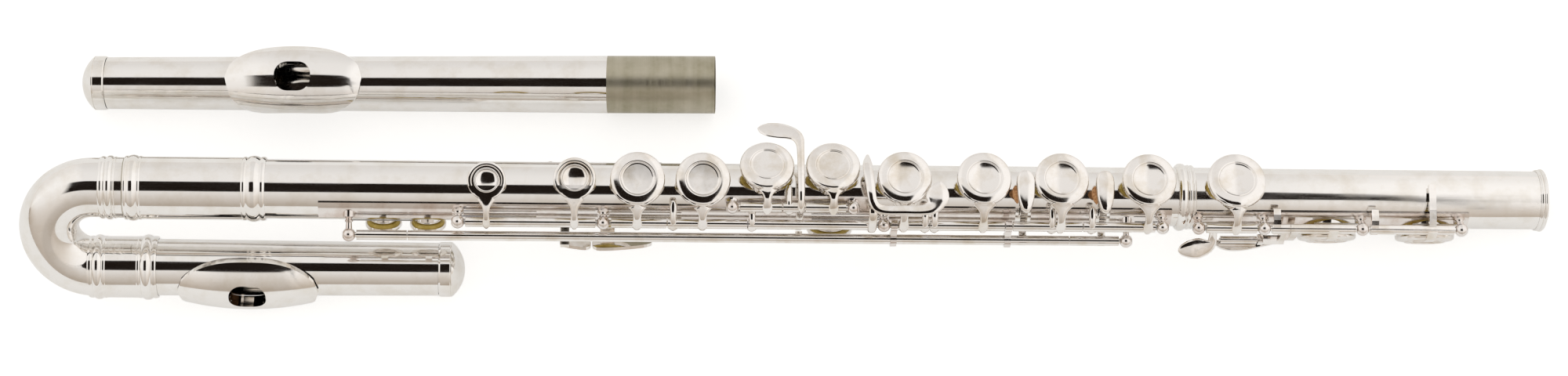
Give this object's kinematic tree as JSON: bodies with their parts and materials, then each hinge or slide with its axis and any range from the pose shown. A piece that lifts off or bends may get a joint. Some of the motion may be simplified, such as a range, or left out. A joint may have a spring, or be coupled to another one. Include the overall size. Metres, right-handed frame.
{
  "type": "concert flute",
  "caption": "Silver concert flute with a curved head joint fitted, a straight head joint beside it, offset G keys and a C foot joint.",
  "frame": {"origin": "centre of the foot joint's open end, on the tube's axis", "axes": "+X along the tube away from the head, +Z the way the key cups face, -Y the side of the rods"},
  "size_m": [0.5133, 0.0925, 0.058],
  "materials": {
    "silver_plate": "polished silver plate",
    "bare_nickel": "satin nickel silver",
    "pivot_steel": "polished steel",
    "pad_skin": "matt skin over felt",
    "cork": "matt cork"
  },
  "bodies": {
    "body": {"body_tube": "silver_plate", "barrel": "silver_plate", "body_ribs": "silver_plate", "body_posts": "silver_plate", "body_steels": "pivot_steel", "body_springs": "pivot_steel"},
    "head_slide": {"head_tenon": "bare_nickel"},
    "curved_head": {"crook": "silver_plate", "crook_ferrule": "silver_plate", "crook_sleeve": "silver_plate", "curved_head_tube": "silver_plate", "curved_lip_plate": "silver_plate"},
    "curved_crown": {"curved_crown": "silver_plate"},
    "curved_stopper": {"curved_stopper": "cork"},
    "straight_head": {"straight_head_tube": "silver_plate", "straight_tenon": "bare_nickel", "straight_lip_plate": "silver_plate"},
    "straight_crown": {"straight_crown": "silver_plate"},
    "straight_stopper": {"straight_stopper": "cork"},
    "foot": {"foot_tube": "silver_plate", "foot_socket_rings": "silver_plate", "foot_end_ring": "silver_plate", "foot_rib": "silver_plate", "foot_posts": "silver_plate", "foot_steel": "pivot_steel", "foot_springs": "pivot_steel"},
    "c_key": {"c_key": "silver_plate", "c_pads": "pad_skin"},
    "b_flat_key": {"b_flat_key": "silver_plate", "b_flat_pad": "pad_skin"},
    "a_key": {"a_key": "silver_plate", "a_pad": "pad_skin"},
    "g_key": {"g_key": "silver_plate", "g_pads": "pad_skin"},
    "g_sharp_key": {"g_sharp_key": "silver_plate", "g_sharp_pad": "pad_skin"},
    "b_thumb_key": {"b_thumb_key": "silver_plate", "b_thumb_pad": "pad_skin"},
    "b_flat_thumb_lever": {"b_flat_thumb_lever": "silver_plate"},
    "b_flat_side_lever": {"b_flat_side_lever": "silver_plate"},
    "f_sharp_key": {"f_sharp_key": "silver_plate", "f_sharp_pad": "pad_skin"},
    "f_key": {"f_key": "silver_plate", "f_pad": "pad_skin"},
    "e_key": {"e_key": "silver_plate", "e_pad": "pad_skin"},
    "d_key": {"d_key": "silver_plate", "d_pad": "pad_skin"},
    "d_trill_key": {"d_trill_key": "silver_plate", "d_trill_pad": "pad_skin"},
    "d_sharp_trill_key": {"d_sharp_trill_key": "silver_plate", "d_sharp_trill_pad": "pad_skin"},
    "d_sharp_key": {"d_sharp_key": "silver_plate", "d_sharp_pad": "pad_skin"},
    "low_c_sharp_key": {"low_c_sharp_key": "silver_plate", "low_c_sharp_pad": "pad_skin"},
    "low_c_key": {"low_c_key": "silver_plate", "low_c_pad": "pad_skin"},
    "low_c_roller": {"low_c_roller": "silver_plate"}
  },
  "joints": [
    {"name": "c_press", "type": "hinge", "parent": "body", "child": "c_key", "pos_m": [-0.3427, -0.0135, 0.0071], "axis": [-1, 0, 0], "range_deg": [0, 8.5], "stiffness_Nm_per_rad": 0.02, "springref_deg": -17.19},
    {"name": "a_press", "type": "hinge", "parent": "body", "child": "a_key", "pos_m": [-0.2857, -0.0135, 0.0071], "axis": [-1, 0, 0], "range_deg": [0, 8.5], "stiffness_Nm_per_rad": 0.02, "springref_deg": -17.19},
    {"name": "b_flat_press", "type": "hinge", "parent": "body", "child": "b_flat_key", "pos_m": [-0.3074, -0.0135, 0.0071], "axis": [-1, 0, 0], "range_deg": [0, 8.5], "stiffness_Nm_per_rad": 0.02, "springref_deg": -17.19},
    {"name": "g_press", "type": "hinge", "parent": "body", "child": "g_key", "pos_m": [-0.2533, -0.0093, 0.0122], "axis": [-1, 0, 0], "range_deg": [0, 8.5], "stiffness_Nm_per_rad": 0.02, "springref_deg": -17.19},
    {"name": "g_sharp_press", "type": "hinge", "parent": "body", "child": "g_sharp_key", "pos_m": [-0.2559, -0.0093, 0.0122], "axis": [-1, 0, 0], "range_deg": [0, 5.7], "stiffness_Nm_per_rad": 0.02, "springref_deg": -17.19},
    {"name": "b_thumb_press", "type": "hinge", "parent": "body", "child": "b_thumb_key", "pos_m": [-0.317, 0.0116, -0.0087], "axis": [-1, 0, 0], "range_deg": [0, 7], "stiffness_Nm_per_rad": 0.02, "springref_deg": -17.19},
    {"name": "b_flat_thumb_press", "type": "hinge", "parent": "body", "child": "b_flat_thumb_lever", "pos_m": [-0.3314, 0.0116, -0.0087], "axis": [-1, 0, 0], "range_deg": [0, 7], "stiffness_Nm_per_rad": 0.02, "springref_deg": -17.19},
    {"name": "b_flat_side_press", "type": "hinge", "parent": "body", "child": "b_flat_side_lever", "pos_m": [-0.249, -0.0135, 0.0071], "axis": [-1, 0, 0], "range_deg": [0, 3], "stiffness_Nm_per_rad": 0.02, "springref_deg": -17.19},
    {"name": "f_press", "type": "hinge", "parent": "body", "child": "f_key", "pos_m": [-0.192, -0.0135, 0.0071], "axis": [-1, 0, 0], "range_deg": [0, 8.5], "stiffness_Nm_per_rad": 0.02, "springref_deg": -17.19},
    {"name": "f_sharp_press", "type": "hinge", "parent": "body", "child": "f_sharp_key", "pos_m": [-0.2186, -0.0135, 0.0071], "axis": [-1, 0, 0], "range_deg": [0, 8.5], "stiffness_Nm_per_rad": 0.02, "springref_deg": -17.19},
    {"name": "e_press", "type": "hinge", "parent": "body", "child": "e_key", "pos_m": [-0.166, -0.0135, 0.0071], "axis": [-1, 0, 0], "range_deg": [0, 8.5], "stiffness_Nm_per_rad": 0.02, "springref_deg": -17.19},
    {"name": "d_press", "type": "hinge", "parent": "body", "child": "d_key", "pos_m": [-0.1366, -0.0135, 0.0071], "axis": [-1, 0, 0], "range_deg": [0, 8.5], "stiffness_Nm_per_rad": 0.02, "springref_deg": -17.19},
    {"name": "d_trill_press", "type": "hinge", "parent": "body", "child": "d_trill_key", "pos_m": [-0.27, -0.0163, 0.0011], "axis": [-1, 0, 0], "range_deg": [0, 8.7], "stiffness_Nm_per_rad": 0.02, "springref_deg": -17.19},
    {"name": "d_sharp_trill_press", "type": "hinge", "parent": "body", "child": "d_sharp_trill_key", "pos_m": [-0.27, -0.0163, 0.0011], "axis": [-1, 0, 0], "range_deg": [0, 8.7], "stiffness_Nm_per_rad": 0.02, "springref_deg": -17.19},
    {"name": "d_sharp_press", "type": "hinge", "parent": "foot", "child": "d_sharp_key", "pos_m": [-0.1067, -0.0135, 0.0071], "axis": [1, 0, 0], "range_deg": [0, 8.5], "stiffness_Nm_per_rad": 0.02, "springref_deg": -17.19},
    {"name": "low_c_press", "type": "hinge", "parent": "foot", "child": "low_c_key", "pos_m": [-0.05, -0.0135, 0.0071], "axis": [1, 0, 0], "range_deg": [0, 5.2], "stiffness_Nm_per_rad": 0.02, "springref_deg": -17.19},
    {"name": "low_c_sharp_press", "type": "hinge", "parent": "foot", "child": "low_c_sharp_key", "pos_m": [-0.0738, -0.0135, 0.0071], "axis": [1, 0, 0], "range_deg": [0, 5.2], "stiffness_Nm_per_rad": 0.02, "springref_deg": -17.19},
    {"name": "low_c_roller_spin", "type": "hinge", "parent": "low_c_key", "child": "low_c_roller", "pos_m": [-0.1049, -0.0152, 0.00029], "axis": [1, 0, 0], "continuous": true},
    {"name": "head_tuning", "type": "slide", "parent": "body", "child": "head_slide", "axis": [-1, 0, 0], "range_m": [0, 0.008]},
    {"name": "curved_head_turn", "type": "hinge", "parent": "head_slide", "child": "curved_head", "pos_m": [-0.48, 0, 0], "axis": [1, 0, 0], "range_deg": [-45, 45]},
    {"name": "curved_crown_turn", "type": "hinge", "parent": "curved_head", "child": "curved_crown", "pos_m": [-0.372, -0.02014, -0.02277], "axis": [1, 0, 0], "range_deg": [-360, 360]},
    {"name": "curved_stopper_slide", "type": "slide", "parent": "curved_head", "child": "curved_stopper", "axis": [1, 0, 0], "range_m": [-0.0008, 0.0008]},
    {"name": "straight_head_lift", "type": "slide", "parent": "body", "child": "straight_head", "axis": [0, 0, 1], "range_m": [0, 0.06]},
    {"name": "straight_crown_turn", "type": "hinge", "parent": "straight_head", "child": "straight_crown", "pos_m": [-0.49189, 0.04912, -0.02983], "axis": [0.998, -0.0157, 0.0605], "range_deg": [-360, 360]},
    {"name": "straight_stopper_slide", "type": "slide", "parent": "straight_head", "child": "straight_stopper", "axis": [0.998, -0.0157, 0.0605], "range_m": [-0.0008, 0.0008]},
    {"name": "foot_turn", "type": "hinge", "parent": "body", "child": "foot", "pos_m": [-0.115, 0, 0], "axis": [1, 0, 0], "range_deg": [-20, 20]}
  ],
  "couplings": [
    {"joint": "b_flat_press", "follows": "a_press", "ratio": 1},
    {"joint": "f_sharp_press", "follows": "f_press", "ratio": 1},
    {"joint": "low_c_sharp_press", "follows": "low_c_press", "ratio": 1},
    {"joint": "curved_crown_turn", "follows": "curved_stopper_slide", "rad_per_m": 7853.8},
    {"joint": "straight_crown_turn", "follows": "straight_stopper_slide", "rad_per_m": 7853.8}
  ]
}
